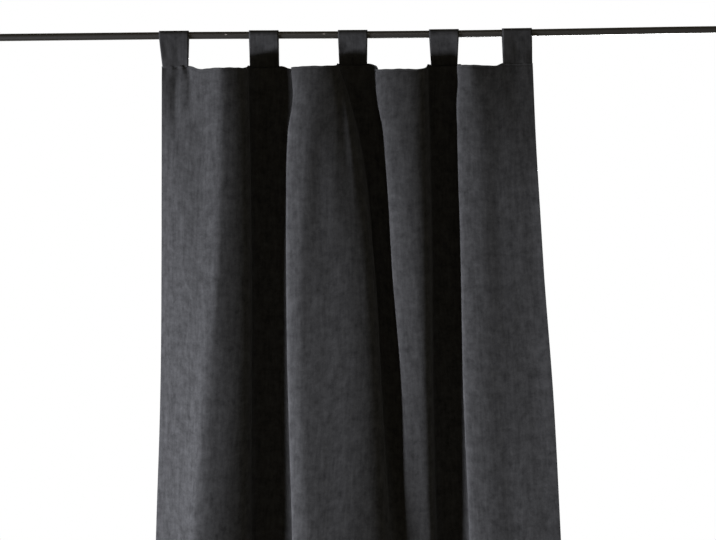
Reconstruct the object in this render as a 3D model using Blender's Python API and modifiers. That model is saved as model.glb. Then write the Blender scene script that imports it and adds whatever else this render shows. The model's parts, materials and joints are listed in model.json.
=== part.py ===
"""A tab-top curtain of charcoal faux suede, hanging in four uneven folds from a thin round rod.

Metres, +Z up. The origin is the middle of the rod's left end, the rod runs along +X, and the cloth is seen from
-Y. In the tables x is measured from the middle of the heading, and "forward" is the distance towards -Y from the
vertical plane through the rod's axis.
"""
from collections import namedtuple

import bmesh
import bpy
import numpy as np

# The rod
ROD_DIAMETER = 0.016
ROD_LENGTH = 1.80
ROD_MIDDLE = 0.04           # its middle is a little to the right of the heading's
ROD_SAG = 0.003             # under the cloth's weight, greatest at ROD_SAG_AT
ROD_SAG_AT = 0.20
ROD_SAG_REACH = 0.62        # half the length of the stretch that bends
ROD_ROUNDNESS = 10          # of its bevel
ROD_STEPS = 18

# The cloth
FLAT_WIDTH = 1.10           # of the panel before it is hung
PANEL_DROP = 2.32           # from the heading's top edge to the hem
CLOTH = 0.002               # one thickness of suede
HEM = 0.003                 # where the cloth is turned under and sewn
HEADING_DEPTH = 0.055       # of the turned heading
BOTTOM_HEM_DEPTH = 0.080
SEAM_STEP = 0.006           # the short slope from a hem's thickness to the cloth's
PANEL_COLUMNS = 74
ROUNDING = 0.012            # length over which the cloth's stiffness rounds a bend

# The tabs
TAB_WIDTH = 0.065
TAB_CLEARANCE = 0.0005      # between the rod and the loop round it
TAB_FOOT_GAP = 0.0007       # between the tab's ends and the heading
TAB_PLY_GAP = 0.0004        # between the tab's two ends where they meet
TAB_LEG_STEPS = 5
TAB_LOOP_STEPS = 12
TAB_ACROSS_STEPS = 3

# One row for each tab: where it is pushed to on the rod, where its foot is sewn along the flat cloth, and how far
# below the rod's top that is
Tab = namedtuple("Tab", "name on_rod foot_from foot_to drop")
TABS = (
    Tab("tab_1", -0.3735, 0.0015, 0.0590, 0.0743),
    Tab("tab_2", -0.1760, 0.2560, 0.3230, 0.0730),
    Tab("tab_3", 0.0195, 0.5350, 0.5985, 0.0688),
    Tab("tab_4", 0.2200, 0.8160, 0.8775, 0.0716),
    Tab("tab_5", 0.3805, 1.0335, 1.0990, 0.0767),
)
# One row for each stretch of the heading between two tabs: how far its edge sinks, and over what length it does so
# beside the tab on its left and beside the one on its right
Bay = namedtuple("Bay", "sink left_reach right_reach")
BAYS = (
    Bay(0.0108, 0.038, 0.066),
    Bay(0.0096, 0.036, 0.066),
    Bay(0.0178, 0.062, 0.078),
    Bay(0.0062, 0.050, 0.016),
)

# One row for each fold at each level: its left edge, its crest, where its right flank starts, how far forward the
# crest and that flank stand, and how far the cloth behind its left edge tucks back under it
Fold = namedtuple("Fold", "edge crest fall forward fall_forward tuck")
# The recess between two folds: at the heading a tab is sewn there
Recess = namedtuple("Recess", "left right back")
# A side of the cloth: its free edge, and a place a little way in from it, each with how far it stands forward
Side = namedtuple("Side", "edge edge_forward inner inner_forward")
# One row for each level below the heading's top edge
Section = namedtuple("Section", "level left folds recesses right")
SECTIONS = (
    Section(0.0, Side(-0.402, -0.004, -0.3432, -0.002),
            (Fold(-0.314, -0.270, -0.216, 0.044, 0.033, 0.000), Fold(-0.1170, -0.095, -0.017, 0.035, 0.025, 0.004),
             Fold(0.0680, 0.094, 0.176, 0.034, 0.027, 0.004), Fold(0.2471, 0.272, 0.304, 0.036, 0.031, 0.012)),
            (Recess(-0.2068, -0.1432, 0.021), Recess(-0.0119, 0.0502, 0.020), Recess(0.1905, 0.2497, 0.023)),
            Side(0.413, 0.010, 0.350, 0.021)),
    Section(0.141, Side(-0.405, -0.016, -0.3625, 0.001),
            (Fold(-0.320, -0.271, -0.212, 0.041, 0.030, 0.000), Fold(-0.1235, -0.090, 0.014, 0.042, 0.028, 0.005),
             Fold(0.0816, 0.108, 0.177, 0.034, 0.027, 0.006), Fold(0.2455, 0.279, 0.320, 0.036, 0.034, 0.010)),
            (Recess(-0.206, -0.142, 0.022), Recess(0.028, 0.069, 0.018), Recess(0.193, 0.239, 0.022)),
            Side(0.416, 0.020, 0.374, 0.026)),
    Section(0.449, Side(-0.409, -0.030, -0.367, -0.001),
            (Fold(-0.333, -0.282, -0.212, 0.039, 0.024, 0.000), Fold(-0.1320, -0.098, 0.052, 0.038, 0.026, 0.005),
             Fold(0.0992, 0.127, 0.180, 0.034, 0.030, 0.006), Fold(0.2488, 0.288, 0.345, 0.036, 0.035, 0.010)),
            (Recess(-0.206, -0.148, 0.022), Recess(0.062, 0.088, 0.017), Recess(0.196, 0.237, 0.024)),
            Side(0.4300, 0.034, 0.389, 0.034)),
    Section(0.735, Side(-0.414, -0.028, -0.378, -0.004),
            (Fold(-0.342, -0.306, -0.216, 0.039, 0.021, 0.000), Fold(-0.1310, -0.092, 0.066, 0.040, 0.027, 0.006),
             Fold(0.119, 0.145, 0.181, 0.023, 0.019, 0.000), Fold(0.2520, 0.292, 0.354, 0.037, 0.037, 0.010)),
            (Recess(-0.208, -0.150, 0.023), Recess(0.078, 0.098, 0.014), Recess(0.196, 0.239, 0.025)),
            Side(0.448, 0.039, 0.401, 0.038)),
    Section(1.021, Side(-0.427, -0.029, -0.389, -0.006),
            (Fold(-0.354, -0.326, -0.220, 0.039, 0.019, 0.000), Fold(-0.1255, -0.078, 0.078, 0.043, 0.028, 0.008),
             Fold(0.127, 0.150, 0.184, 0.016, 0.011, -0.014), Fold(0.2605, 0.304, 0.358, 0.036, 0.037, 0.009)),
            (Recess(-0.210, -0.146, 0.024), Recess(0.094, 0.106, 0.009), Recess(0.199, 0.246, 0.025)),
            Side(0.459, 0.044, 0.411, 0.042)),
    Section(PANEL_DROP, Side(-0.440, -0.022, -0.400, -0.005),
            (Fold(-0.364, -0.336, -0.234, 0.031, 0.016, 0.000), Fold(-0.128, -0.074, 0.084, 0.035, 0.024, 0.006),
             Fold(0.140, 0.164, 0.196, 0.016, 0.010, -0.012), Fold(0.270, 0.314, 0.378, 0.030, 0.031, 0.008)),
            (Recess(-0.222, -0.156, 0.021), Recess(0.100, 0.116, 0.009), Recess(0.208, 0.250, 0.022)),
            Side(0.493, 0.036, 0.440, 0.034)),
)
FIRST_EDGE_SHARE = 0.45     # the first fold rises evenly from the free edge: its slope passes this share
EDGE_SHARE = 0.66           # a fold's left edge lies at this share of its crest's forward distance
TUCK_SHARE = 0.05           # and the cloth tucked behind its edge at this share

# The panel's rows of points: even steps down the cloth, with a row at each side of a hem's seam
HANG_TOP = HEADING_DEPTH + SEAM_STEP
HANG_BOTTOM = PANEL_DROP - BOTTOM_HEM_DEPTH - SEAM_STEP
HANG_STEPS = 22

# A line of points seen from above, and the length along it at each of them
Curve = namedtuple("Curve", "points arc")
CURVE_POINTS = 550
GUIDE_READINGS = 600        # of the line through the guide points, before it is evened out
DEPTH_TRIALS = 24           # halvings in the search for a section's depth


def rod_height(x):
    """Height of the rod's axis at x: level at both ends, with a slight sag under the cloth."""
    share = np.clip((np.asarray(x) - ROD_SAG_AT) / ROD_SAG_REACH, -1.0, 1.0)
    return -ROD_SAG * (1.0 - share ** 2) ** 2


def eased(share):
    """0 to 1 with a soft start and end."""
    share = np.clip(share, 0.0, 1.0)
    return share * share * (3.0 - 2.0 * share)


def heading_height(x, arc):
    """Height of the heading's top edge at x, and at arc along the cloth: it sinks between the tabs' feet."""
    feet = [place for tab in TABS for place in (tab.foot_from, tab.foot_to)]
    drops = [tab.drop for tab in TABS for _ in range(2)]
    below_rod = np.interp(arc, feet, drops)
    for bay, before, after in zip(BAYS, TABS, TABS[1:]):
        from_left = eased((arc - before.foot_to) / bay.left_reach)
        from_right = eased((after.foot_from - arc) / bay.right_reach)
        below_rod = below_rod + bay.sink * from_left * from_right
    return rod_height(x) + ROD_DIAMETER / 2 - below_rod


def smooth_through(knots, values, at):
    """A smooth curve through the values at the knots, read at other places between them."""
    knots = np.asarray(knots, float)
    values = np.asarray(values, float)
    steps = np.diff(knots)
    slopes = np.diff(values, axis=0) / steps[:, None]
    tangents = np.empty_like(values)
    tangents[0] = slopes[0]
    tangents[-1] = slopes[-1]
    before = steps[:-1, None]
    after = steps[1:, None]
    tangents[1:-1] = (after * slopes[:-1] + before * slopes[1:]) / (before + after)
    span = np.clip(np.searchsorted(knots, at, side="right") - 1, 0, len(steps) - 1)
    width = steps[span][:, None]
    u = ((at - knots[span]) / steps[span])[:, None]
    start = (2 * u ** 3 - 3 * u ** 2 + 1) * values[span] + (u ** 3 - 2 * u ** 2 + u) * width * tangents[span]
    end = (3 * u ** 2 - 2 * u ** 3) * values[span + 1] + (u ** 3 - u ** 2) * width * tangents[span + 1]
    return start + end


def guide_points(section):
    """The points that one level of the cloth passes through, from its left edge to its right edge."""
    first, *others = section.folds
    left = section.left
    right = section.right
    points = [(left.edge, left.edge_forward), (left.inner, left.inner_forward)]
    points.append((first.edge, first.forward * FIRST_EDGE_SHARE))
    points.append((first.crest, first.forward))
    points.append((first.fall, first.fall_forward))
    for recess, fold in zip(section.recesses, others):
        points.append((recess.left, -recess.back))
        points.append((recess.right, -recess.back))
        points.append((fold.edge + fold.tuck, fold.forward * TUCK_SHARE))
        points.append((fold.edge, fold.forward * EDGE_SHARE))
        points.append((fold.crest, fold.forward))
        points.append((fold.fall, fold.fall_forward))
    points += [(right.inner, right.inner_forward), (right.edge, right.edge_forward)]
    return points


def guides_at(level):
    """The guide points at any level, read smoothly between the sections."""
    table = np.array([guide_points(section) for section in SECTIONS])
    flat_table = table.reshape(len(SECTIONS), -1)
    levels = [section.level for section in SECTIONS]
    return smooth_through(levels, flat_table, np.array([level])).reshape(-1, 2)


def arc_along(points):
    """The length along a line of points, at each of them."""
    return np.concatenate([[0.0], np.cumsum(np.linalg.norm(np.diff(points, axis=0), axis=1))])


def read_curve(curve, arc):
    """The points of a curve at given lengths along it."""
    return np.column_stack([np.interp(arc, curve.arc, curve.points[:, i]) for i in range(2)])


def rounded_curve(guides):
    """The smooth line through the guide points, rounded as stiff cloth is, with even steps along it."""
    chords = np.linalg.norm(np.diff(guides, axis=0), axis=1)
    knots = np.concatenate([[0.0], np.cumsum(np.sqrt(chords))])
    points = smooth_through(knots, guides, np.linspace(0.0, knots[-1], GUIDE_READINGS))
    uneven = Curve(points, arc_along(points))
    length = uneven.arc[-1]
    points = read_curve(uneven, np.linspace(0.0, length, CURVE_POINTS))
    reach = round(ROUNDING / length * CURVE_POINTS)
    weights = np.hanning(2 * reach + 3)[1:-1]
    weights = weights / weights.sum()
    before = 2 * points[0] - points[reach:0:-1]
    after = 2 * points[-1] - points[-2:-reach - 2:-1]
    carried_on = np.vstack([before, points, after])
    points = np.column_stack([np.convolve(carried_on[:, i], weights, mode="valid") for i in range(2)])
    return Curve(points, arc_along(points))


def cloth_curve(level):
    """The cloth seen from above at one level: its folds are as deep as its flat width needs."""
    guides = guides_at(level)
    shallow = 0.5
    deep = 2.0
    for _ in range(DEPTH_TRIALS):
        depth = (shallow + deep) / 2
        curve = rounded_curve(guides * (1.0, depth))
        if curve.arc[-1] < FLAT_WIDTH:
            shallow = depth
        else:
            deep = depth
    return curve


def column_places(curve, columns):
    """Lengths along a curve for the mesh's columns: half of them even, half where the cloth bends most."""
    steps = np.diff(curve.points, axis=0)
    heading = np.unwrap(np.arctan2(steps[:, 1], steps[:, 0]))
    bend = np.abs(np.gradient(heading))
    evenly = np.diff(curve.arc) / curve.arc[-1]
    measure = np.concatenate([[0.0], np.cumsum(evenly + bend / bend.sum())])
    return np.interp(np.linspace(0.0, measure[-1], columns + 1), measure, curve.arc)


def make_material(name, colour, roughness, metallic):
    """A plain finish of one colour."""
    material = bpy.data.materials.new(name)
    material.use_nodes = True
    shader = material.node_tree.nodes["Principled BSDF"]
    shader.inputs["Base Color"].default_value = (*colour, 1.0)
    shader.inputs["Roughness"].default_value = roughness
    shader.inputs["Metallic"].default_value = metallic
    return material


def add_object(middle, name, data, material):
    """A piece of the curtain, carried by the empty at the heading's middle."""
    piece = bpy.data.objects.new(name, data)
    data.materials.append(material)
    middle.users_collection[0].objects.link(piece)
    piece.parent = middle
    return piece


def grid_mesh(name, across, down, place):
    """A grid whose point at (share across, share down) lies at place(share across, share down)."""
    shape = bmesh.new()
    bmesh.ops.create_grid(shape, x_segments=across, y_segments=down, size=1.0)
    for point in shape.verts:
        point.co = place((point.co.x + 1) / 2, (1 - point.co.y) / 2)
    mesh = bpy.data.meshes.new(name)
    shape.to_mesh(mesh)
    shape.free()
    mesh.shade_smooth()
    return mesh


def panel_levels():
    """How far below the heading's top edge each row of the panel's points lies."""
    heading = [0.0, HEADING_DEPTH / 2, HEADING_DEPTH]
    hanging = list(np.linspace(HANG_TOP, HANG_BOTTOM, HANG_STEPS + 1))
    hem = [PANEL_DROP - BOTTOM_HEM_DEPTH, PANEL_DROP - BOTTOM_HEM_DEPTH / 2, PANEL_DROP]
    return heading + hanging + hem


def make_panel(middle, material):
    """The panel: one sheet in its folds, thicker along the turned heading and the bottom hem."""
    levels = panel_levels()
    rows = []
    for level in levels:
        curve = cloth_curve(level)
        arcs = column_places(curve, PANEL_COLUMNS)
        x, forward = read_curve(curve, arcs).T
        rows.append(list(zip(x, -forward, heading_height(x, arcs) - level)))

    def place(across, down):
        return rows[round(down * (len(rows) - 1))][round(across * PANEL_COLUMNS)]

    mesh = grid_mesh("panel", PANEL_COLUMNS, len(rows) - 1, place)
    panel = add_object(middle, "panel", mesh, material)
    thickness = panel.vertex_groups.new(name="thickness")
    for point in mesh.vertices:
        level = levels[-1 - point.index // (PANEL_COLUMNS + 1)]
        turned = level < HANG_TOP - SEAM_STEP / 2 or level > HANG_BOTTOM + SEAM_STEP / 2
        thickness.add([point.index], 1.0 if turned else CLOTH / HEM, "REPLACE")
    solidify = panel.modifiers.new("Cloth", "SOLIDIFY")
    solidify.thickness = HEM
    solidify.offset = -1.0
    solidify.vertex_group = thickness.name


def tangent_angle(foot_y, foot_z, side, radius):
    """Where a straight ply from its foot meets the loop round the rod: side is -1 in front and 1 behind."""
    distance = np.hypot(foot_y, foot_z)
    towards_foot = np.arctan2(foot_z, foot_y)
    return towards_foot + side * np.arccos(radius / distance)


def make_tab(middle, material, tab, heading):
    """A tab: a strip that rises from the heading, passes over the rod and comes back to the same line."""
    radius = ROD_DIAMETER / 2 + TAB_CLEARANCE + CLOTH / 2
    ply = (CLOTH + TAB_PLY_GAP) / 2
    steps = 2 * TAB_LEG_STEPS + TAB_LOOP_STEPS

    def place(across, along):
        arc = tab.foot_from + (tab.foot_to - tab.foot_from) * across
        foot_x, forward = read_curve(heading, np.array([arc]))[0]
        rod_x = tab.on_rod + TAB_WIDTH * (across - 0.5)
        axis_z = float(rod_height(rod_x))
        foot_y = HEM / 2 - forward
        foot_z = float(heading_height(foot_x, arc)) + TAB_FOOT_GAP - axis_z
        front = tangent_angle(foot_y - ply, foot_z, -1, radius)
        back = tangent_angle(foot_y + ply, foot_z, 1, radius)
        step = round(along * steps)
        over = np.clip((step - TAB_LEG_STEPS) / TAB_LOOP_STEPS, 0.0, 1.0)
        angle = front + (back - 2 * np.pi - front) * over
        on_loop = np.array((rod_x, radius * np.cos(angle), radius * np.sin(angle)))
        side = -1 if over < 0.5 else 1
        foot = np.array((foot_x, foot_y + side * ply, foot_z))
        rise = min(1.0, min(step, steps - step) / TAB_LEG_STEPS)
        point = foot + (on_loop - foot) * rise
        return (point[0], point[1], axis_z + point[2])

    mesh = grid_mesh(tab.name, TAB_ACROSS_STEPS, steps, place)
    piece = add_object(middle, tab.name, mesh, material)
    solidify = piece.modifiers.new("Cloth", "SOLIDIFY")
    solidify.thickness = CLOTH
    solidify.offset = 0.0
    solidify.use_even_offset = True


def make_rod(middle, material):
    """The rod: a round bar with flat ends, bent a little by the cloth that hangs from it."""
    rod_curve = bpy.data.curves.new("rod", "CURVE")
    rod_curve.dimensions = "3D"
    line = rod_curve.splines.new("POLY")
    line.points.add(ROD_STEPS)
    for i, point in enumerate(line.points):
        x = ROD_MIDDLE + ROD_LENGTH * (i / ROD_STEPS - 0.5)
        point.co = (x, 0.0, float(rod_height(x)), 1.0)
    rod_curve.bevel_depth = ROD_DIAMETER / 2
    rod_curve.bevel_resolution = ROD_ROUNDNESS
    rod_curve.use_fill_caps = True
    add_object(middle, "rod", rod_curve, material)


def main():
    for old in list(bpy.data.objects):
        bpy.data.objects.remove(old, do_unlink=True)
    collection = bpy.data.collections.new("tab_top_curtain")
    bpy.context.scene.collection.children.link(collection)
    middle = bpy.data.objects.new("heading_middle", None)
    middle.location.x = ROD_LENGTH / 2 - ROD_MIDDLE
    collection.objects.link(middle)
    make_rod(middle, make_material("satin_black_metal", (0.012, 0.012, 0.011), 0.35, 0.8))
    make_panel(middle, make_material("charcoal_suede", (0.030, 0.030, 0.034), 0.95, 0.0))
    heading = cloth_curve(0.0)
    for tab in TABS:
        suede = make_material("charcoal_suede_" + tab.name, (0.028, 0.028, 0.032), 0.95, 0.0)
        make_tab(middle, suede, tab, heading)


main()
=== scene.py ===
import json
import math
from collections import namedtuple

import bmesh
import bpy
import numpy as np
from mathutils import Matrix, Vector, noise

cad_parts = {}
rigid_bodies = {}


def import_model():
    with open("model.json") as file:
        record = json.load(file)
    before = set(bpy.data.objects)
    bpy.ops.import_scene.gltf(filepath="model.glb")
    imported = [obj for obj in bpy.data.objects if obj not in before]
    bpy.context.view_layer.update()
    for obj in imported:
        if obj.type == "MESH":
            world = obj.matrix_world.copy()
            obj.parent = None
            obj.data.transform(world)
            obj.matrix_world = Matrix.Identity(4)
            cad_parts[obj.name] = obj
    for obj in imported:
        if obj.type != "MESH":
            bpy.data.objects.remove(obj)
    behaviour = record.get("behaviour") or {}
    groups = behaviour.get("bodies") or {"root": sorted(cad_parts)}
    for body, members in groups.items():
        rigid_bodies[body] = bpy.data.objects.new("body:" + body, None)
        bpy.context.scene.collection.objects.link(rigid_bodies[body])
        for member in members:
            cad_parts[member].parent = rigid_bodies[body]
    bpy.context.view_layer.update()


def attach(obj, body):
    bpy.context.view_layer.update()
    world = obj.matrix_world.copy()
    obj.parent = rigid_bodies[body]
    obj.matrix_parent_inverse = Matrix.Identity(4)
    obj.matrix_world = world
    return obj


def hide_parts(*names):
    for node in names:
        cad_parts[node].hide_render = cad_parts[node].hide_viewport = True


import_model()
scene_objects = bpy.context.scene.collection.objects

# The rod is a thin steel tube, painted near-black with a satin finish. It lies in two wall brackets, which
# are left out, and bends a little under the cloth on it. Its ends are cut square, with the edge taken off.
ROD_DIAMETER = 0.016
ROD_LENGTH = 1.80
HEADING_MIDDLE = 0.86       # along the rod from its left end: the cloth's own x is counted from here
ROD_SAG = 0.003
ROD_SAG_AT = 0.20           # the cloth's x at which the rod is lowest
ROD_SAG_REACH = 0.62        # how far to each side of that it bends
ROD_STEPS = 90
ROD_ROUNDNESS = 16
ROD_END_BEVEL = 0.0006
ROD_SHARP_ANGLE = 35
WELD_DISTANCE = 0.00001
ROD_PAINT = (0.0170, 0.0155, 0.0145)
ROD_SCUFF = (0.055, 0.053, 0.050)
ROD_GLOSS = (0.36, 0.46)    # least and most roughness of the paint
ROD_REFRACTION = 2.0
# Two small pale spots painted on the front: their middles, and half their length, depth and height
ROD_PALE_SPOTS = ((0.6010, -0.0078, 0.0000), (0.8165, -0.0078, -0.0008))
PALE_SPOT_REACH = (0.0036, 0.0050, 0.0018)
PALE_SPOT_COLOUR = (0.42, 0.38, 0.36)


def rod_height(x):
    """Height of the rod's axis at x from the heading's middle."""
    share = np.clip((np.asarray(x) - ROD_SAG_AT) / ROD_SAG_REACH, -1.0, 1.0)
    return -ROD_SAG * (1.0 - share ** 2) ** 2


def add_node(tree, kind, **values):
    """A shader node with its properties and its unlinked inputs set by name."""
    node = tree.nodes.new(kind)
    for name, value in values.items():
        if hasattr(node, name):
            setattr(node, name, value)
        else:
            node.inputs[name.replace("_", " ").title()].default_value = value
    return node


def new_material(name):
    """An empty node material with its Principled shader."""
    material = bpy.data.materials.new(name)
    material.use_nodes = True
    return material, material.node_tree, material.node_tree.nodes["Principled BSDF"]


def mix_colours(tree, share, first, second):
    """Output of a node that mixes two colours by a share. The first may be such an output too."""
    mix = add_node(tree, "ShaderNodeMix", data_type="RGBA")
    share_input, first_input, second_input = mix.inputs[0], mix.inputs[6], mix.inputs[7]
    tree.links.new(share, share_input)
    if isinstance(first, bpy.types.NodeSocket):
        tree.links.new(first, first_input)
    else:
        first_input.default_value = (*first, 1.0)
    second_input.default_value = (*second, 1.0)
    return mix.outputs[2]


def plain_mesh(made, name):
    """Makes a piece with a plain mesh from an object with modifiers or a bevelled curve, and removes that."""
    depsgraph = bpy.context.evaluated_depsgraph_get()
    mesh = bpy.data.meshes.new_from_object(made.evaluated_get(depsgraph))
    bpy.data.objects.remove(made, do_unlink=True)
    piece = bpy.data.objects.new(name, mesh)
    scene_objects.link(piece)
    return piece


def make_rod():
    """A round bar along the bent line, with its ends closed and their edges taken off."""
    line = bpy.data.curves.new("rod_line", "CURVE")
    line.dimensions = "3D"
    spline = line.splines.new("POLY")
    middle = np.linspace(0.0, ROD_LENGTH, ROD_STEPS)[1:-1]
    places = [0.0, ROD_END_BEVEL, *middle, ROD_LENGTH - ROD_END_BEVEL, ROD_LENGTH]
    spline.points.add(len(places) - 1)
    for point, x in zip(spline.points, places):
        point.co = (x, 0.0, float(rod_height(x - HEADING_MIDDLE)), 1.0)
    for end in (spline.points[0], spline.points[-1]):
        end.radius = 1.0 - ROD_END_BEVEL / (ROD_DIAMETER / 2)
    line.bevel_depth = ROD_DIAMETER / 2
    line.bevel_resolution = ROD_ROUNDNESS
    line.use_fill_caps = True
    made = bpy.data.objects.new("rod_line", line)
    scene_objects.link(made)
    rod = plain_mesh(made, "satin_rod")
    shape = bmesh.new()
    shape.from_mesh(rod.data)
    bmesh.ops.remove_doubles(shape, verts=shape.verts, dist=WELD_DISTANCE)
    shape.to_mesh(rod.data)
    shape.free()
    rod.data.shade_smooth()
    rod.data.set_sharp_from_angle(angle=math.radians(ROD_SHARP_ANGLE))
    return rod


def rod_paint():
    """Satin paint: almost black, with a fine orange-peel skin, a few pale scuffs and two small pale spots on
    the front.
    """
    material, tree, shader = new_material("rod_satin_paint")
    place = add_node(tree, "ShaderNodeTexCoord")
    skin = add_node(tree, "ShaderNodeTexNoise", scale=900.0, detail=2.0)
    scuffs = add_node(tree, "ShaderNodeTexNoise", scale=140.0, detail=6.0, roughness=0.7)
    scuff_share = add_node(tree, "ShaderNodeMapRange", from_min=0.66, from_max=0.80)
    gloss = add_node(tree, "ShaderNodeMapRange", to_min=ROD_GLOSS[0], to_max=ROD_GLOSS[1])
    shader.inputs["IOR"].default_value = ROD_REFRACTION
    bump = add_node(tree, "ShaderNodeBump", strength=0.12, distance=0.0002)
    for texture in (skin, scuffs):
        tree.links.new(place.outputs["Object"], texture.inputs["Vector"])
    tree.links.new(scuffs.outputs["Fac"], scuff_share.inputs["Value"])
    colour = mix_colours(tree, scuff_share.outputs["Result"], ROD_PAINT, ROD_SCUFF)
    # two small pale spots are painted into the colour on the rod's front
    for middle in ROD_PALE_SPOTS:
        away = add_node(tree, "ShaderNodeVectorMath", operation="SUBTRACT")
        away.inputs[1].default_value = middle
        scaled = add_node(tree, "ShaderNodeVectorMath", operation="DIVIDE")
        scaled.inputs[1].default_value = PALE_SPOT_REACH
        length = add_node(tree, "ShaderNodeVectorMath", operation="LENGTH")
        share = add_node(tree, "ShaderNodeMapRange", from_min=1.0, from_max=0.3)
        tree.links.new(place.outputs["Object"], away.inputs[0])
        tree.links.new(away.outputs["Vector"], scaled.inputs[0])
        tree.links.new(scaled.outputs["Vector"], length.inputs[0])
        tree.links.new(length.outputs["Value"], share.inputs["Value"])
        colour = mix_colours(tree, share.outputs["Result"], colour, PALE_SPOT_COLOUR)
    tree.links.new(scuffs.outputs["Fac"], gloss.inputs["Value"])
    tree.links.new(skin.outputs["Fac"], bump.inputs["Height"])
    tree.links.new(colour, shader.inputs["Base Color"])
    tree.links.new(gloss.outputs["Result"], shader.inputs["Roughness"])
    tree.links.new(bump.outputs["Normal"], shader.inputs["Normal"])
    return material


rod = make_rod()
rod.data.materials.append(rod_paint())
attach(rod, "root")
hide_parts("rod")

# The panel is one length of charcoal faux suede. Its heading, sides and bottom are turned to the back and
# sewn. It hangs in four soft folds, because its tabs are pushed together on the rod.
FLAT_WIDTH = 1.10
PANEL_DROP = 2.32
CLOTH = 0.0013
HEM = 0.0027                # thickness of the turned cloth
HEADING_DEPTH = 0.055
BOTTOM_HEM_DEPTH = 0.080
SIDE_HEM_WIDTH = 0.022
HEM_MARGIN = 0.001          # the cloth is as thick as the hem from this far above the bottom hem's fold
EDGE_ROUNDING = 0.004
EDGE_THICKNESS = 0.4        # share of the hem's thickness that is left at its very edge
EDGE_UNEVENNESS = 0.0012
EDGE_WAVE_LENGTH = 0.013
EDGE_WAVE_DEPTH = 0.02      # how far down the edge's unevenness fades
EDGE_SEED = 8.5
SIDE_EDGE = 0.0010          # the narrow strip along which the sides are turned
ROUNDING = 0.012
FACING_STEP = 0.002
PANEL_COLUMNS = 240
TOP_ROWS = ((0.0, 0.012, 0.0010), (0.012, 0.061, 0.005), (0.063, 0.24, 0.009))  # each from, to and step
TOP_ROWS_END = 0.24
HANG_ROWS = 140
HANG_ROWS_END = 0.012       # above the hem's fold
HEM_ROWS = (-0.006, -0.003, 0.0, 0.004, 0.012, 0.030, 0.052, 0.070, 0.078)      # below the hem's fold
CURVE_POINTS = 550
GUIDE_READINGS = 600
DEPTH_TRIALS = 20
LEAST_DEPTH = 0.5           # the folds' depth lies between these two shares of the table's
MOST_DEPTH = 2.0

# One row for each tab: where it is pushed to on the rod, where its foot is sewn along the flat cloth, and
# how far below the rod's top that is
Tab = namedtuple("Tab", "name on_rod foot_from foot_to drop")
TABS = (
    Tab("tab_1", -0.3735, 0.0015, 0.0590, 0.0743),
    Tab("tab_2", -0.1760, 0.2560, 0.3230, 0.0730),
    Tab("tab_3", 0.0195, 0.5350, 0.5985, 0.0688),
    Tab("tab_4", 0.2200, 0.8178, 0.8775, 0.0716),
    Tab("tab_5", 0.3805, 1.0335, 1.0990, 0.0767),
)
# One row for each stretch of the heading between two tabs: how far its edge sinks, and over what length it
# does so beside the tab on its left and beside the one on its right
Bay = namedtuple("Bay", "sink left_reach right_reach")
BAYS = (
    Bay(0.0108, 0.038, 0.066),
    Bay(0.0096, 0.036, 0.066),
    Bay(0.0178, 0.062, 0.078),
    Bay(0.0062, 0.050, 0.016),
)

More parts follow.
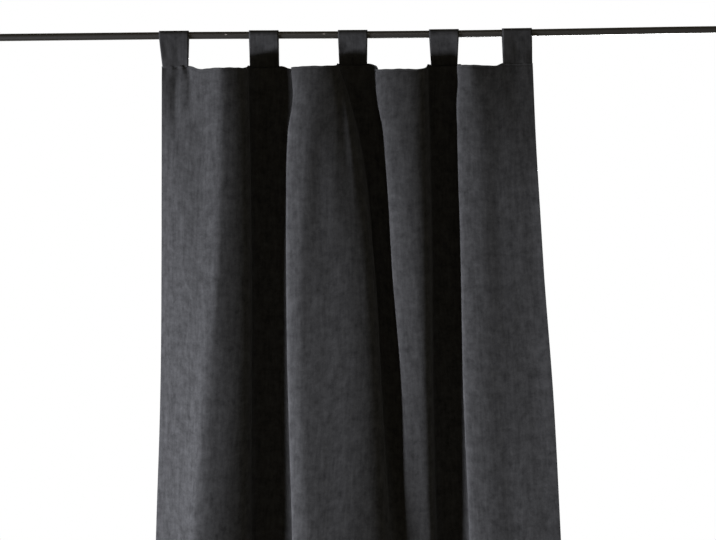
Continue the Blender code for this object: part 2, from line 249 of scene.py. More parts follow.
# One row for each fold at each level: its left edge, its crest, where its right flank starts, how far
# forward the crest and that flank stand, and how far the cloth behind its left edge tucks back under it. A
# recess has its two sides and how far back it lies. A side of the panel has its edge and a point near it, and
# how far forward each stands.
Fold = namedtuple("Fold", "edge crest fall forward fall_forward tuck")
Recess = namedtuple("Recess", "left right back")
Side = namedtuple("Side", "edge edge_forward inner inner_forward")
Section = namedtuple("Section", "level left folds recesses right")
SECTIONS = (
    Section(0.0, Side(-0.402, -0.004, -0.3432, -0.002),
            (Fold(-0.314, -0.270, -0.216, 0.044, 0.033, 0.000),
             Fold(-0.1170, -0.095, -0.017, 0.035, 0.025, 0.004),
             Fold(0.0680, 0.094, 0.176, 0.034, 0.027, 0.004),
             Fold(0.2455, 0.272, 0.304, 0.036, 0.031, 0.012)),
            (Recess(-0.2068, -0.1432, 0.021), Recess(-0.0119, 0.0502, 0.020), Recess(0.1905, 0.2497, 0.023)),
            Side(0.413, 0.010, 0.350, 0.021)),
    Section(0.141, Side(-0.405, -0.016, -0.3625, 0.001),
            (Fold(-0.320, -0.271, -0.212, 0.041, 0.030, 0.000),
             Fold(-0.1245, -0.090, 0.018, 0.042, 0.028, 0.005),
             Fold(0.0832, 0.109, 0.177, 0.034, 0.027, 0.006),
             Fold(0.2444, 0.279, 0.320, 0.036, 0.034, 0.010)),
            (Recess(-0.206, -0.142, 0.022), Recess(0.031, 0.069, 0.018), Recess(0.193, 0.239, 0.022)),
            Side(0.416, 0.020, 0.374, 0.026)),
    Section(0.449, Side(-0.4105, -0.030, -0.367, -0.001),
            (Fold(-0.333, -0.282, -0.212, 0.039, 0.024, 0.000),
             Fold(-0.1330, -0.098, 0.056, 0.038, 0.026, 0.005),
             Fold(0.0992, 0.127, 0.180, 0.034, 0.030, 0.006),
             Fold(0.2488, 0.288, 0.345, 0.036, 0.035, 0.010)),
            (Recess(-0.206, -0.148, 0.022), Recess(0.065, 0.089, 0.017), Recess(0.196, 0.237, 0.024)),
            Side(0.4300, 0.034, 0.389, 0.034)),
    Section(0.735, Side(-0.4160, -0.028, -0.378, -0.004),
            (Fold(-0.344, -0.310, -0.216, 0.039, 0.021, 0.000),
             Fold(-0.1310, -0.092, 0.069, 0.040, 0.027, 0.006),
             Fold(0.119, 0.145, 0.181, 0.023, 0.019, 0.000),
             Fold(0.2520, 0.292, 0.354, 0.037, 0.037, 0.010)),
            (Recess(-0.208, -0.150, 0.023), Recess(0.078, 0.098, 0.014), Recess(0.196, 0.239, 0.025)),
            Side(0.448, 0.039, 0.401, 0.038)),
    Section(1.021, Side(-0.4287, -0.029, -0.389, -0.006),
            (Fold(-0.360, -0.334, -0.222, 0.036, 0.016, 0.000),
             Fold(-0.1255, -0.078, 0.078, 0.043, 0.028, 0.008),
             Fold(0.124, 0.152, 0.184, 0.0095, 0.008, -0.010),
             Fold(0.2605, 0.304, 0.358, 0.036, 0.037, 0.009)),
            (Recess(-0.210, -0.146, 0.024), Recess(0.094, 0.104, 0.003), Recess(0.199, 0.246, 0.025)),
            Side(0.459, 0.044, 0.411, 0.042)),
    Section(PANEL_DROP, Side(-0.440, -0.022, -0.400, -0.005),
            (Fold(-0.364, -0.336, -0.234, 0.031, 0.016, 0.000),
             Fold(-0.128, -0.074, 0.084, 0.035, 0.024, 0.006),
             Fold(0.140, 0.164, 0.196, 0.016, 0.010, -0.012),
             Fold(0.270, 0.314, 0.378, 0.030, 0.031, 0.008)),
            (Recess(-0.222, -0.156, 0.021), Recess(0.100, 0.116, 0.009), Recess(0.208, 0.250, 0.022)),
            Side(0.493, 0.036, 0.440, 0.034)),
)
# Between those levels the folds' left edges wave a little: which fold from the left, where, how far up and
# down, and how far to the right. The tuck goes with the edge, and the recess and the crest a part of the way.
Wave = namedtuple("Wave", "fold level reach move")
WAVES = (
    Wave(2, 0.068, 0.073, 0.0068),
    Wave(2, 0.215, 0.090, -0.0012),
    Wave(3, 0.060, 0.075, -0.0052),
    Wave(3, 0.210, 0.100, -0.0009),
    Wave(4, 0.038, 0.032, 0.0016),
    Wave(4, 0.095, 0.050, -0.0014),
)
WAVE_SHARES = (0.5, 1.0, 1.0, 0.8)      # of the recess's right side, the tuck, the edge and the crest
FIRST_EDGE_SHARE = 0.45     # how far forward the first fold's edge stands, as a share of its crest
EDGE_SHARE = 0.66           # the same for the other folds' edges
TUCK_SHARE = 0.05           # and for the tucks behind them
GUIDES_BEFORE_RECESS = 5    # the left side's two points and the first fold's three
GUIDES_PER_FOLD = 6         # a recess's two points and the next fold's four

# The soft creases that show on the front, each from its upper end to its lower one: a trough has a negative
# height
Crease = namedtuple("Crease", "x_top top x_bottom bottom width height")
CREASES = (
    Crease(-0.3735, 0.001, -0.3760, 0.190, 0.0075, -0.0046),    # puckers under the first tab
    Crease(-0.3435, 0.001, -0.3360, 0.110, 0.0055, -0.0034),
    Crease(-0.3900, 0.001, -0.3910, 0.080, 0.0045, -0.0018),
    Crease(-0.0135, 0.001, 0.0135, 0.310, 0.0062, -0.0013),     # from the third tab's left foot
    Crease(-0.0030, -0.020, 0.0290, 0.380, 0.0085, 0.0018),
    Crease(-0.0570, 0.150, -0.0600, 0.480, 0.0130, -0.0007),
    Crease(-0.0220, 0.140, -0.0280, 0.460, 0.0110, 0.0008),
    Crease(-0.3050, 0.020, -0.3180, 0.420, 0.0160, -0.0010),
    Crease(0.3300, 0.050, 0.3440, 0.600, 0.0200, -0.0012),
    Crease(0.3780, 0.090, 0.4080, 0.800, 0.0180, 0.0010),
    Crease(0.4300, 0.180, 0.4800, 1.500, 0.0220, 0.0030),
)
# The shares of its length over which a crease comes and goes, how far forward the cloth has to be for one,
# and over what depth it comes
CREASE_FADES = (0.12, 0.5)
CREASE_FRONT = (-0.012, 0.008)

# The sharper ridges of the folds, where the cloth is bent over: the bend is strongest on the ridge's line
Ridge = namedtuple("Ridge", "top bottom x_top x_middle x_bottom left_reach right_reach height")
RIDGES = (
    Ridge(-0.100, 0.760, -0.2650, -0.2740, -0.3090, 0.040, 0.060, 0.0042),
    Ridge(0.000, 1.320, -0.0600, -0.1030, -0.0600, 0.200, 0.085, 0.0066),
    Ridge(-0.300, 0.520, 0.4150, 0.4250, 0.4400, 0.150, 0.100, 0.0085),     # the right edge's curl
)
RIDGE_SOFTNESS = 0.0025
RIDGE_FADES = (0.12, 0.3)
RIDGE_FRONT = (-0.004, 0.016)
RIDGE_TURN = 1.4            # how soon a ridge is whole as the cloth turns to face forward

# The seam under the heading's edge, and the puckers that it makes under the tabs: one height for each tab
PUCKER_HEIGHTS = (0.0055, 0.0006, 0.0008, 0.0006, 0.0006)
PUCKER_PITCH = 0.0100
PUCKER_LENGTH = 0.030
PUCKER_SPREAD = 0.008       # how far beside the tab they reach
PUCKER_DEPTH = 0.016        # how far down they fade
PUCKER_SEED = 5.5
SEAM_LEVEL = 0.0052         # the row of stitches that closes the heading over the tabs' ends
SEAM_WIDTH = 0.0017
SEAM_DEPTH = 0.0005

# The small unevenness of hanging cloth, from the largest ripples to the smallest
Ripple = namedtuple("Ripple", "across down height seed")
RIPPLES = (
    Ripple(0.055, 0.42, 0.0011, 3.1),
    Ripple(0.021, 0.16, 0.00040, 11.7),
    Ripple(0.009, 0.045, 0.00012, 23.3),
)


def smooth_through(knots, values, at):
    """A smooth curve through the values at the knots, read at other places between them."""
    knots = np.asarray(knots, float)
    values = np.asarray(values, float)
    steps = np.diff(knots)
    slopes = np.diff(values, axis=0) / steps[:, None]
    tangents = np.empty_like(values)
    tangents[0] = slopes[0]
    tangents[-1] = slopes[-1]
    before = steps[:-1, None]
    after = steps[1:, None]
    tangents[1:-1] = (after * slopes[:-1] + before * slopes[1:]) / (before + after)
    span = np.clip(np.searchsorted(knots, at, side="right") - 1, 0, len(steps) - 1)
    width = steps[span][:, None]
    u = ((at - knots[span]) / steps[span])[:, None]
    start = (2 * u ** 3 - 3 * u ** 2 + 1) * values[span] + (u ** 3 - 2 * u ** 2 + u) * width * tangents[span]
    end = (3 * u ** 2 - 2 * u ** 3) * values[span + 1] + (u ** 3 - u ** 2) * width * tangents[span + 1]
    return start + end


def guide_points(section):
    """The points that one level of the cloth passes through, from its left edge to its right edge."""
    first, *others = section.folds
    left = section.left
    right = section.right
    points = [(left.edge, left.edge_forward), (left.inner, left.inner_forward)]
    points.append((first.edge, first.forward * FIRST_EDGE_SHARE))
    points.append((first.crest, first.forward))
    points.append((first.fall, first.fall_forward))
    for recess, fold in zip(section.recesses, others):
        points.append((recess.left, -recess.back))
        points.append((recess.right, -recess.back))
        points.append((fold.edge + fold.tuck, fold.forward * TUCK_SHARE))
        points.append((fold.edge, fold.forward * EDGE_SHARE))
        points.append((fold.crest, fold.forward))
        points.append((fold.fall, fold.fall_forward))
    points += [(right.inner, right.inner_forward), (right.edge, right.edge_forward)]
    return points


def guides_at(level):
    """The guide points at any level, read smoothly between the sections, and moved by the waves."""
    table = np.array([guide_points(section) for section in SECTIONS])
    flat_table = table.reshape(len(SECTIONS), -1)
    levels = [section.level for section in SECTIONS]
    guides = smooth_through(levels, flat_table, np.array([level])).reshape(-1, 2)
    for wave in WAVES:
        away = (level - wave.level) / wave.reach
        move = wave.move * max(0.0, 1.0 - away ** 2) ** 2
        moved = GUIDES_BEFORE_RECESS + GUIDES_PER_FOLD * (wave.fold - 2) + 1
        guides[moved:moved + len(WAVE_SHARES), 0] += np.array(WAVE_SHARES) * move
    return guides


Curve = namedtuple("Curve", "points arc")


def arc_along(points):
    """The length along a line of points, at each of them."""
    return np.concatenate([[0.0], np.cumsum(np.linalg.norm(np.diff(points, axis=0), axis=1))])


def read_curve(curve, arc):
    """The points of a curve at given lengths along it."""
    return np.column_stack([np.interp(arc, curve.arc, curve.points[:, i]) for i in range(2)])


def rounded_curve(guides):
    """The smooth line through the guide points, rounded as stiff cloth is, with even steps along it."""
    chords = np.linalg.norm(np.diff(guides, axis=0), axis=1)
    knots = np.concatenate([[0.0], np.cumsum(np.sqrt(chords))])
    points = smooth_through(knots, guides, np.linspace(0.0, knots[-1], GUIDE_READINGS))
    uneven = Curve(points, arc_along(points))
    length = uneven.arc[-1]
    points = read_curve(uneven, np.linspace(0.0, length, CURVE_POINTS))
    reach = round(ROUNDING / length * CURVE_POINTS)
    weights = np.hanning(2 * reach + 3)[1:-1]
    weights = weights / weights.sum()
    before = 2 * points[0] - points[reach:0:-1]
    after = 2 * points[-1] - points[-2:-reach - 2:-1]
    carried_on = np.vstack([before, points, after])
    points = np.column_stack([np.convolve(carried_on[:, i], weights, mode="valid") for i in range(2)])
    return Curve(points, arc_along(points))


def cloth_curve(level):
    """The cloth seen from above at one level: its folds are as deep as its flat width needs."""
    guides = guides_at(level)
    shallow = LEAST_DEPTH
    deep = MOST_DEPTH
    for _ in range(DEPTH_TRIALS):
        depth = (shallow + deep) / 2
        curve = rounded_curve(guides * (1.0, depth))
        if curve.arc[-1] < FLAT_WIDTH:
            shallow = depth
        else:
            deep = depth
    return curve


def eased(share):
    """0 to 1 with a soft start and end."""
    share = np.clip(share, 0.0, 1.0)
    return share * share * (3.0 - 2.0 * share)


def heading_height(x, arc):
    """Height of the heading's top edge at x, and at arc along the cloth: it sinks between the tabs' feet."""
    feet = [place for tab in TABS for place in (tab.foot_from, tab.foot_to)]
    drops = [tab.drop for tab in TABS for _ in range(2)]
    below_rod = np.interp(arc, feet, drops)
    for bay, before, after in zip(BAYS, TABS, TABS[1:]):
        from_left = eased((arc - before.foot_to) / bay.left_reach)
        from_right = eased((after.foot_from - arc) / bay.right_reach)
        below_rod = below_rod + bay.sink * from_left * from_right
    return rod_height(x) + ROD_DIAMETER / 2 - below_rod


def fading(down, fades):
    """0 at both ends of a crease or ridge, and 1 between them."""
    return eased(down / fades[0]) * eased((1.0 - down) / fades[1])


def in_front(points, limits):
    """0 for the points behind a plane, and 1 for those well in front of it."""
    return eased((points[:, 1] - limits[0]) / limits[1])


def crease_lift(points, level):
    """How far the creases lift the cloth at each point of one level."""
    lift = np.zeros(len(points))
    for crease in CREASES:
        down = (level - crease.top) / (crease.bottom - crease.top)
        strength = fading(down, CREASE_FADES) * in_front(points, CREASE_FRONT)
        middle = crease.x_top + (crease.x_bottom - crease.x_top) * down
        away = (points[:, 0] - middle) / crease.width
        lift += crease.height * strength * np.exp(-away ** 2)
    return lift


def ridge_lift(points, facing, level):
    """How far forward the ridges bring the cloth at each point of one level, where it faces forward."""
    lift = np.zeros(len(points))
    for ridge in RIDGES:
        down = (level - ridge.top) / (ridge.bottom - ridge.top)
        strength = fading(down, RIDGE_FADES) * in_front(points, RIDGE_FRONT)
        strength = strength * eased(facing[:, 1] * RIDGE_TURN)
        sagging = 4.0 * down * (1.0 - down)
        middle = ridge.x_top + (ridge.x_bottom - ridge.x_top) * down
        middle += (ridge.x_middle - (ridge.x_top + ridge.x_bottom) / 2) * sagging
        away = np.hypot(points[:, 0] - middle, RIDGE_SOFTNESS) - RIDGE_SOFTNESS
        reach = np.where(points[:, 0] < middle, ridge.left_reach, ridge.right_reach)
        lift += ridge.height * strength * (1.0 - np.clip(away / reach, 0.0, 1.0)) ** 2
    return lift


def heading_lift(arc, level):
    """The seam's groove under the heading's edge, and the puckers under each tab."""
    lift = -SEAM_DEPTH * math.exp(-((level - SEAM_LEVEL) / SEAM_WIDTH) ** 2) * np.ones(len(arc))
    for tab, height in zip(TABS, PUCKER_HEIGHTS):
        beside = np.maximum(tab.foot_from - arc, arc - tab.foot_to)
        strength = eased(1.0 - beside / PUCKER_SPREAD) * math.exp(-level / PUCKER_DEPTH)
        down = level / PUCKER_LENGTH
        gathers = [noise.noise(Vector((place / PUCKER_PITCH, down, PUCKER_SEED))) for place in arc]
        lift += height * strength * np.array(gathers)
    return lift


def ripple_lift(arc, level):
    """The small unevenness of hanging cloth: long soft ripples down it, and smaller ones on them."""
    lift = np.zeros(len(arc))
    for ripple in RIPPLES:
        for i, place in enumerate(arc):
            at = Vector((place / ripple.across, level / ripple.down, ripple.seed))
            lift[i] += ripple.height * noise.noise(at)
    return lift


def cloth_row(level, arc, gathered=True):
    """Points of the panel's front at one level and the way that they face, with or without the seam."""
    curve = cloth_curve(level)
    arc = np.clip(arc, 0.0, curve.arc[-1])
    flat = read_curve(curve, arc)
    along = read_curve(curve, arc + FACING_STEP) - read_curve(curve, arc - FACING_STEP)
    along /= np.linalg.norm(along, axis=1)[:, None]
    facing = np.column_stack([-along[:, 1], along[:, 0]])
    lift = crease_lift(flat, level) + ripple_lift(arc, level)
    if gathered:
        lift += heading_lift(arc, level)
    flat = flat + facing * lift[:, None]
    flat[:, 1] += ridge_lift(flat, facing, level)
    uneven = [noise.noise(Vector((place / EDGE_WAVE_LENGTH, EDGE_SEED, 0.0))) for place in arc]
    uneven = EDGE_UNEVENNESS * math.exp(-level / EDGE_WAVE_DEPTH) * np.array(uneven)
    height = heading_height(flat[:, 0], arc) + uneven - level
    places = np.column_stack([HEADING_MIDDLE + flat[:, 0], -flat[:, 1], height])
    return places, np.column_stack([facing[:, 0], -facing[:, 1], np.zeros(len(arc))])


def column_places(curve, columns):
    """Lengths along a curve for the mesh's columns: two thirds of them are even, and one third lie where the
    cloth bends most. One column lies close to each side."""
    steps = np.diff(curve.points, axis=0)
    turning = np.unwrap(np.arctan2(steps[:, 1], steps[:, 0]))
    bend = np.abs(np.gradient(turning))
    evenly = np.diff(curve.arc) / curve.arc[-1]
    measure = np.concatenate([[0.0], np.cumsum(2 * evenly + bend / bend.sum())])
    places = np.interp(np.linspace(0.0, measure[-1], columns + 1), measure, curve.arc)
    places[1] = SIDE_EDGE
    places[-2] = places[-1] - SIDE_EDGE
    return places


def panel_levels():
    """The panel's rows: closest at the heading's edge, close at the hems, and wider apart down the cloth."""
    hem_fold = PANEL_DROP - BOTTOM_HEM_DEPTH
    top = [np.arange(*stretch) for stretch in TOP_ROWS]
    hang = np.linspace(TOP_ROWS_END, hem_fold - HANG_ROWS_END, HANG_ROWS)
    hem = hem_fold + np.array(HEM_ROWS)
    return np.concatenate([*top, hang, hem, [PANEL_DROP]])


def grid_mesh(name, across, down, place):
    """A grid whose point in column i and row j lies at place(i, j)."""
    shape = bmesh.new()
    bmesh.ops.create_grid(shape, x_segments=across, y_segments=down, size=1.0)
    for point in shape.verts:
        column = round((point.co.x + 1) / 2 * across)
        row = round((1 - point.co.y) / 2 * down)
        point.co = place(column, row)
    mesh = bpy.data.meshes.new(name)
    shape.to_mesh(mesh)
    shape.free()
    mesh.shade_smooth()
    return mesh


def grid_cells(across, down):
    """The column and row of each of the grid's points, in the order in which the grid makes them."""
    return [(i, j) for j in range(down, -1, -1) for i in range(across + 1)]


ClothRow = namedtuple("ClothRow", "level arc places facing")


def cloth_rows():
    """The panel's front, a row for each level."""
    rows = []
    for level in panel_levels():
        arc = column_places(cloth_curve(level), PANEL_COLUMNS)
        rows.append(ClothRow(level, arc, *cloth_row(level, arc)))
    return rows


def make_panel(rows):
    """The cloth's front with its thickness behind it, which is that of the hem where it is turned."""
    mesh = grid_mesh("suede_panel", PANEL_COLUMNS, len(rows) - 1, lambda i, j: rows[j].places[i])
    cells = grid_cells(PANEL_COLUMNS, len(rows) - 1)
    panel = bpy.data.objects.new("suede_panel", mesh)
    scene_objects.link(panel)
    flat_map = mesh.uv_layers.new(name="cloth")
    for loop in mesh.loops:
        i, j = cells[loop.vertex_index]
        flat_map.data[loop.index].uv = (rows[j].arc[i], rows[j].level)
    thickness = panel.vertex_groups.new(name="thickness")
    for point in mesh.vertices:
        i, j = cells[point.index]
        arc, level = rows[j].arc[i], rows[j].level
        turned = level < HEADING_DEPTH or level > PANEL_DROP - BOTTOM_HEM_DEPTH - HEM_MARGIN
        turned = turned or min(arc, FLAT_WIDTH - arc) < SIDE_HEM_WIDTH
        inwards = float(eased(min(level, arc, FLAT_WIDTH - arc) / EDGE_ROUNDING))
        rounded = EDGE_THICKNESS + (1.0 - EDGE_THICKNESS) * inwards
        thickness.add([point.index], rounded if turned else CLOTH / HEM, "REPLACE")
    solidify = panel.modifiers.new("Cloth", "SOLIDIFY")
    solidify.thickness = HEM
    solidify.offset = -1.0
    solidify.vertex_group = thickness.name
    return panel


SUEDE_DARK = (0.0185, 0.0184, 0.0187)
SUEDE_LIGHT = (0.0620, 0.0620, 0.0632)
SUEDE_MOTTLE = (0.71, 1.28)         # sums of the noises that give the darkest and the lightest cloth
SUEDE_STREAKS = 0.14                # how often they come down the cloth, as a share of how often across it


def suede(name):
    """Faux suede: a short nap that lies unevenly, so that it is mottled, with faint streaks down it."""
    material, tree, shader = new_material(name)
    cloth_place = add_node(tree, "ShaderNodeUVMap", uv_map="cloth")
    streak_place = add_node(tree, "ShaderNodeMapping")
    streak_place.inputs["Scale"].default_value = (1.0, SUEDE_STREAKS, 1.0)
    clouds = add_node(tree, "ShaderNodeTexNoise", scale=42.0, detail=6.0, roughness=0.66)
    patches = add_node(tree, "ShaderNodeTexNoise", scale=125.0, detail=2.0, roughness=0.55)
    streaks = add_node(tree, "ShaderNodeTexNoise", scale=130.0, detail=4.0, roughness=0.60)
    nap = add_node(tree, "ShaderNodeTexNoise", scale=330.0, detail=3.0, roughness=0.65)
    tree.links.new(cloth_place.outputs["UV"], streak_place.inputs["Vector"])
    for texture in (clouds, patches, nap):
        tree.links.new(cloth_place.outputs["UV"], texture.inputs["Vector"])
    tree.links.new(streak_place.outputs["Vector"], streaks.inputs["Vector"])
    mottle = None
    for texture, share in ((clouds, 0.85), (patches, 0.30), (streaks, 0.58), (nap, 0.26)):
        scaled = add_node(tree, "ShaderNodeMath", operation="MULTIPLY_ADD")
        tree.links.new(texture.outputs["Fac"], scaled.inputs[0])
        scaled.inputs[1].default_value = share
        scaled.inputs[2].default_value = 0.0
        if mottle is not None:
            tree.links.new(mottle.outputs[0], scaled.inputs[2])
        mottle = scaled
    shade = add_node(tree, "ShaderNodeMapRange", from_min=SUEDE_MOTTLE[0], from_max=SUEDE_MOTTLE[1])
    bump = add_node(tree, "ShaderNodeBump", strength=0.12, distance=0.0006)
    tree.links.new(mottle.outputs[0], shade.inputs["Value"])
    colour = mix_colours(tree, shade.outputs["Result"], SUEDE_DARK, SUEDE_LIGHT)
    tree.links.new(mottle.outputs[0], bump.inputs["Height"])
    tree.links.new(colour, shader.inputs["Base Color"])
    tree.links.new(bump.outputs["Normal"], shader.inputs["Normal"])
    shader.inputs["Roughness"].default_value = 0.92
    shader.inputs["Specular IOR Level"].default_value = 0.12
    shader.inputs["Sheen Weight"].default_value = 0.07
    shader.inputs["Sheen Roughness"].default_value = 0.45
    shader.inputs["Sheen Tint"].default_value = (0.82, 0.82, 0.86, 1.0)
    return material


rows = cloth_rows()
panel = make_panel(rows)
panel.data.materials.append(suede("panel_charcoal_suede"))
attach(panel, "root")
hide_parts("panel")

# Each tab is a straight strip of the same suede, turned in along its edges. It is folded over the rod, and
# both its ends are sewn between the heading's two layers.
TAB_WIDTH = 0.065
TAB_CUT_LENGTH = 0.187
TAB_CLOTH = 0.0018
TAB_CLEARANCE = 0.0010
TAB_INSIDE_HEADING = 0.0030     # how far its ends go down between the layers
TAB_PLY_GAP = 0.0002
TAB_FEET_BACK = (0.0014, 0.0003, 0.0003, 0.0003, 0.0006)      # how far they are behind the heading's middle
TAB_WAVE = 0.0016               # how far the plies bulge apart
TAB_WAVES_ACROSS = 2.2
TAB_WAVE_ROWS = 9.0
TAB_FIRST_SEED = 2.7
TAB_SEED_STEP = 1.3
TAB_LEG_STEPS = 16
TAB_LOOP_STEPS = 22
TAB_ACROSS_STEPS = 18


def tangent_angle(foot_y, foot_z, side, radius):
    """Where a straight ply from its foot meets the loop round the rod: side is -1 in front and 1 behind."""
    distance = np.hypot(foot_y, foot_z)
    towards_foot = np.arctan2(foot_z, foot_y)
    return towards_foot + side * np.arccos(radius / distance)


def make_tab(tab, foot_back, seed):
    """A strip from the heading up in front, round the rod, and down behind to the heading again."""
    radius = ROD_DIAMETER / 2 + TAB_CLEARANCE + TAB_CLOTH / 2
    ply = (TAB_CLOTH + TAB_PLY_GAP) / 2
    steps = 2 * TAB_LEG_STEPS + TAB_LOOP_STEPS
    arcs = np.linspace(tab.foot_from, tab.foot_to, TAB_ACROSS_STEPS + 1)
    feet, _ = cloth_row(0.0, arcs, gathered=False)

    def place(column, row):
        across = column / TAB_ACROSS_STEPS
        rod_x = tab.on_rod + TAB_WIDTH * (across - 0.5)
        axis_z = float(rod_height(rod_x))
        foot_x, foot_y, foot_z = feet[column]
        foot_y += HEM / 2 + foot_back
        foot_z -= TAB_INSIDE_HEADING + axis_z
        front = tangent_angle(foot_y - ply, foot_z, -1, radius)
        back = tangent_angle(foot_y + ply, foot_z, 1, radius)
        over = np.clip((row - TAB_LEG_STEPS) / TAB_LOOP_STEPS, 0.0, 1.0)
        angle = front + (back - 2 * np.pi - front) * over
        side = -1 if over < 0.5 else 1
        rise = min(1.0, min(row, steps - row) / TAB_LEG_STEPS)
        foot = np.array((foot_x, foot_y + side * ply, foot_z))
        on_loop = np.array((HEADING_MIDDLE + rod_x, radius * np.cos(angle), radius * np.sin(angle)))
        point = foot + (on_loop - foot) * rise
        slack = math.sin(math.pi * rise) if rise < 1.0 else 0.0
        wave = noise.noise(Vector((across * TAB_WAVES_ACROSS, row / TAB_WAVE_ROWS, seed)))
        point[1] += side * abs(wave) * TAB_WAVE * slack
        return (point[0], point[1], axis_z + point[2])

    mesh = grid_mesh("suede_" + tab.name, TAB_ACROSS_STEPS, steps, place)
    piece = bpy.data.objects.new("suede_" + tab.name, mesh)
    scene_objects.link(piece)
    flat_map = mesh.uv_layers.new(name="cloth")
    cells = grid_cells(TAB_ACROSS_STEPS, steps)
    for loop in mesh.loops:
        i, j = cells[loop.vertex_index]
        flat_map.data[loop.index].uv = (seed + TAB_WIDTH * i / TAB_ACROSS_STEPS, TAB_CUT_LENGTH * j / steps)
    solidify = piece.modifiers.new("Cloth", "SOLIDIFY")
    solidify.thickness = TAB_CLOTH
    solidify.offset = 0.0
    solidify.use_even_offset = True
    return piece


tab_suede = suede("tab_charcoal_suede")
for number, (tab, foot_back) in enumerate(zip(TABS, TAB_FEET_BACK)):
    piece = make_tab(tab, foot_back, TAB_FIRST_SEED + TAB_SEED_STEP * number)
    piece.data.materials.append(tab_suede)
    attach(piece, "root")
    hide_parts(tab.name)

# The hems are sewn from the back with charcoal thread. One more row closes the heading's edge over the
# tabs' ends, and shows on both faces.
STITCH = 0.0026
STITCH_PITCH = 0.0034
THREAD = 0.0005
STITCH_SIDES = 6
STITCH_UNEVENNESS = 0.12
STITCH_SEED = 7
SEWN_FROM_EDGE = 0.016          # the side hems' row
SEWN_FROM_HEM_FOLD = 0.006      # the heading's and the bottom hem's rows
PATH_STEP = 0.004
SIDE_PATH_POINTS = 300
STITCH_SHARP_ANGLE = 50
THREAD_COLOUR = (0.022, 0.022, 0.024)
THREAD_ROUGHNESS = 0.62


def along_cloth(rows, arc, level, depth):
    """Points at a depth under the cloth's front, read between the panel's own rows."""
    levels = [row.level for row in rows]
    lower = int(np.clip(np.searchsorted(levels, level), 1, len(rows) - 1))
    share = (level - levels[lower - 1]) / (levels[lower] - levels[lower - 1])
    read = []
    for row in (rows[lower - 1], rows[lower]):
        columns = np.hstack([row.places, row.facing])
        read.append(np.column_stack([np.interp(arc, row.arc, columns[:, i]) for i in range(6)]))
    blend = read[0] * (1 - share) + read[1] * share
    return blend[:, :3] - blend[:, 3:] * depth


def stitch_paths(rows):
    """The rows of stitches: across the heading and the bottom hem, and down both side hems."""
    across = np.arange(SEWN_FROM_EDGE, FLAT_WIDTH - SEWN_FROM_EDGE, PATH_STEP)
    paths = [along_cloth(rows, across, SEAM_LEVEL, 0.0), along_cloth(rows, across, SEAM_LEVEL, HEM)]
    for level in (HEADING_DEPTH - SEWN_FROM_HEM_FOLD, PANEL_DROP - BOTTOM_HEM_DEPTH + SEWN_FROM_HEM_FOLD):
        paths.append(along_cloth(rows, across, level, HEM))
    down = np.linspace(HEADING_DEPTH, PANEL_DROP - BOTTOM_HEM_DEPTH, SIDE_PATH_POINTS)
    for arc in (SEWN_FROM_EDGE, FLAT_WIDTH - SEWN_FROM_EDGE):
        paths.append(np.vstack([along_cloth(rows, np.array([arc]), level, HEM) for level in down]))
    return paths


def stitch_tool(thread):
    """Geometry Nodes: lays short round stitches at even steps along every path, some a little smaller."""
    tree = bpy.data.node_groups.new("sewn_row", "GeometryNodeTree")
    inputs = {}
    for name, kind in (("Paths", "Geometry"), ("Pitch", "Float"), ("Length", "Float"), ("Thread", "Float"),
                       ("Unevenness", "Float"), ("Seed", "Int"), ("Material", "Material")):
        inputs[name] = tree.interface.new_socket(name, in_out="INPUT", socket_type="NodeSocket" + kind)
    tree.interface.new_socket("Stitches", in_out="OUTPUT", socket_type="NodeSocketGeometry")
    start = tree.nodes.new("NodeGroupInput")
    end = tree.nodes.new("NodeGroupOutput")
    curve = tree.nodes.new("GeometryNodeMeshToCurve")
    even = tree.nodes.new("GeometryNodeResampleCurve")
    even.mode = "LENGTH"
    stitch = tree.nodes.new("GeometryNodeMeshCylinder")
    stitch.inputs["Vertices"].default_value = STITCH_SIDES
    tangent = tree.nodes.new("GeometryNodeInputTangent")
    turn = tree.nodes.new("FunctionNodeAlignRotationToVector")
    turn.axis = "Z"
    most = tree.nodes.new("ShaderNodeMath")
    most.operation = "SUBTRACT"
    most.inputs[0].default_value = 1.0
    size = tree.nodes.new("FunctionNodeRandomValue")
    size.data_type = "FLOAT"
    size.inputs[3].default_value = 1.0
    place = tree.nodes.new("GeometryNodeInstanceOnPoints")
    whole = tree.nodes.new("GeometryNodeRealizeInstances")
    paint = tree.nodes.new("GeometryNodeSetMaterial")
    for source, target in (
        (start.outputs["Paths"], curve.inputs["Mesh"]),
        (curve.outputs["Curve"], even.inputs["Curve"]),
        (start.outputs["Pitch"], even.inputs["Length"]),
        (start.outputs["Length"], stitch.inputs["Depth"]),
        (start.outputs["Thread"], stitch.inputs["Radius"]),
        (start.outputs["Unevenness"], most.inputs[1]),
        (most.outputs[0], size.inputs[2]),
        (start.outputs["Seed"], size.inputs["Seed"]),
        (tangent.outputs["Tangent"], turn.inputs["Vector"]),
        (even.outputs["Curve"], place.inputs["Points"]),
        (stitch.outputs["Mesh"], place.inputs["Instance"]),
        (turn.outputs["Rotation"], place.inputs["Rotation"]),
        (size.outputs[1], place.inputs["Scale"]),
        (place.outputs["Instances"], whole.inputs["Geometry"]),
        (whole.outputs["Geometry"], paint.inputs["Geometry"]),
        (start.outputs["Material"], paint.inputs["Material"]),
        (paint.outputs["Geometry"], end.inputs["Stitches"]),
    ):
        tree.links.new(source, target)
    settings = {"Pitch": STITCH_PITCH, "Length": STITCH, "Thread": THREAD / 2,
                "Unevenness": STITCH_UNEVENNESS, "Seed": STITCH_SEED, "Material": thread}
    return tree, {inputs[name].identifier: value for name, value in settings.items()}


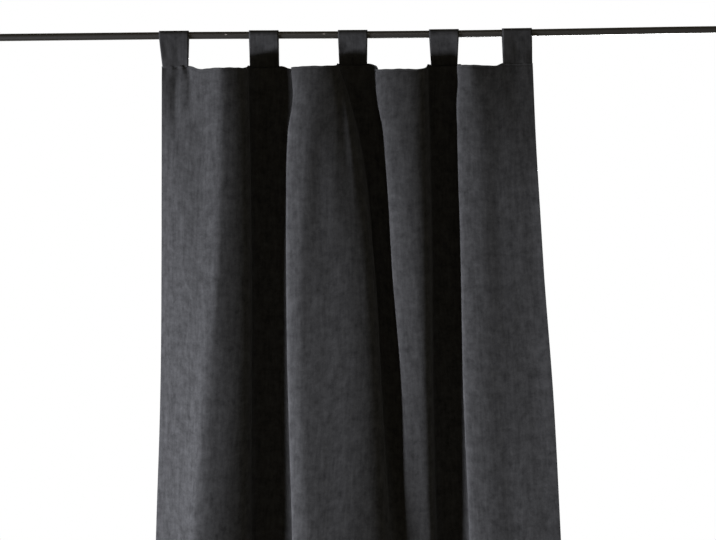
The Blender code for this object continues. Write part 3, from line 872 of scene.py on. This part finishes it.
def make_stitches(rows, thread):
    """The thread that shows along the rows of stitches, as one piece."""
    mesh = bpy.data.meshes.new("stitch_paths")
    points = []
    edges = []
    for path in stitch_paths(rows):
        edges += [(len(points) + i, len(points) + i + 1) for i in range(len(path) - 1)]
        points += [tuple(point) for point in path]
    mesh.from_pydata(points, edges, [])
    sewn = bpy.data.objects.new("stitch_paths", mesh)
    scene_objects.link(sewn)
    tool, settings = stitch_tool(thread)
    modifier = sewn.modifiers.new("Stitches", "NODES")
    modifier.node_group = tool
    for identifier, value in settings.items():
        modifier[identifier] = value
    stitches = plain_mesh(sewn, "hem_stitches")
    stitches.data.shade_smooth()
    stitches.data.set_sharp_from_angle(angle=math.radians(STITCH_SHARP_ANGLE))
    return stitches


thread, _, thread_shader = new_material("charcoal_thread")
thread_shader.inputs["Base Color"].default_value = (*THREAD_COLOUR, 1.0)
thread_shader.inputs["Roughness"].default_value = THREAD_ROUGHNESS
stitches = make_stitches(rows, thread)
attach(stitches, "root")

# A plain pale floor lies under the hem, well below the picture.
FLOOR_HEIGHT = -2.46
FLOOR_SIZE = 9.0
FLOOR_COLOUR = (0.25, 0.25, 0.25)
FLOOR_GLOW = 0.62               # it glows a little, so that it is pale in every view


def make_floor():
    shape = bmesh.new()
    bmesh.ops.create_grid(shape, x_segments=1, y_segments=1, size=FLOOR_SIZE / 2)
    bmesh.ops.translate(shape, verts=shape.verts, vec=(HEADING_MIDDLE, 0.0, FLOOR_HEIGHT))
    mesh = bpy.data.meshes.new("floor")
    shape.to_mesh(mesh)
    shape.free()
    floor = bpy.data.objects.new("floor", mesh)
    scene_objects.link(floor)
    material, _, shader = new_material("pale_floor")
    shader.inputs["Base Color"].default_value = (*FLOOR_COLOUR, 1.0)
    shader.inputs["Roughness"].default_value = 0.9
    shader.inputs["Emission Color"].default_value = (1.0, 1.0, 0.99, 1.0)
    shader.inputs["Emission Strength"].default_value = FLOOR_GLOW
    mesh.materials.append(material)
    floor.visible_diffuse = False
    floor.visible_glossy = False
    return floor


make_floor()

# The key light is a thin level strip far round to the left, so that each fold shades the recess behind it. A
# broad weak one to the right lights the flanks that the key misses. A faint tall one above the camera draws
# the stripe along the rod, and the last one lights the back of the cloth.
Light = namedtuple("Light", "name place size spread power colour")
LIGHTS = (
    Light("key", (-3.56, -1.27, -1.45), (1.90, 0.08), 50, 56.0, (0.89, 0.91, 1.0)),
    Light("right", (4.60, -1.95, -1.60), (2.40, 1.20), 60, 1.80, (1.0, 1.0, 0.97)),
    Light("front", (0.90, -4.10, 0.85), (0.30, 2.40), 60, 0.72, (1.0, 0.92, 0.88)),
    Light("back", (2.6, 3.4, -1.5), (2.0, 2.0), 120, 230.0, (1.0, 1.0, 1.0)),
)
LIT_POINT = Vector((0.86, 0.0, -0.84))      # all four are aimed at it

for light in LIGHTS:
    lamp = bpy.data.lights.new(light.name, "AREA")
    lamp.shape = "RECTANGLE"
    lamp.size, lamp.size_y = light.size
    lamp.energy = light.power
    lamp.color = light.colour
    lamp.spread = math.radians(light.spread)
    holder = bpy.data.objects.new(light.name, lamp)
    scene_objects.link(holder)
    holder.location = light.place
    holder.rotation_euler = (LIT_POINT - Vector(light.place)).to_track_quat("-Z", "Y").to_euler()

# The room's light on the cloth is dim and warm, but the camera sees plain white behind it.
ROOM_LIGHT = (1.0, 0.87, 0.56)
ROOM_STRENGTH = 0.085

world = bpy.data.worlds.new("studio")
world.use_nodes = True
bpy.context.scene.world = world
world_tree = world.node_tree
dim = world_tree.nodes["Background"]
dim.inputs["Color"].default_value = (*ROOM_LIGHT, 1.0)
dim.inputs["Strength"].default_value = ROOM_STRENGTH
white = add_node(world_tree, "ShaderNodeBackground", strength=1.0)
white.inputs["Color"].default_value = (1.0, 1.0, 1.0, 1.0)
seen = add_node(world_tree, "ShaderNodeLightPath")
either = add_node(world_tree, "ShaderNodeMixShader")
world_tree.links.new(seen.outputs["Is Camera Ray"], either.inputs[0])
world_tree.links.new(dim.outputs[0], either.inputs[1])
world_tree.links.new(white.outputs[0], either.inputs[2])
world_tree.links.new(either.outputs[0], world_tree.nodes["World Output"].inputs["Surface"])
bpy.context.scene.view_settings.view_transform = "Standard"

# The camera looks level at the upper half of the curtain, from in front of the picture's middle.
PICTURE_WIDTH = 716
PIXEL = 0.0022              # real size of a pixel at the rod
CAMERA_DISTANCE = 3.6
CAMERA_X = 0.8855
CAMERA_Z = -0.520
CAMERA_ROLL = 0.62          # degrees: the rod climbs a little to the right in the picture
SENSOR_WIDTH = 36.0
VIEW_END = 60.0

camera_data = bpy.data.cameras.new("camera")
camera_data.sensor_width = SENSOR_WIDTH
camera_data.lens = SENSOR_WIDTH * CAMERA_DISTANCE / (PICTURE_WIDTH * PIXEL)
camera_data.clip_end = VIEW_END
camera = bpy.data.objects.new("camera", camera_data)
scene_objects.link(camera)
camera.location = (CAMERA_X, -CAMERA_DISTANCE, CAMERA_Z)
turn = Matrix.Rotation(math.radians(90), 3, "X") @ Matrix.Rotation(-math.radians(CAMERA_ROLL), 3, "Z")
camera.rotation_euler = turn.to_euler()
bpy.context.scene.camera = camera
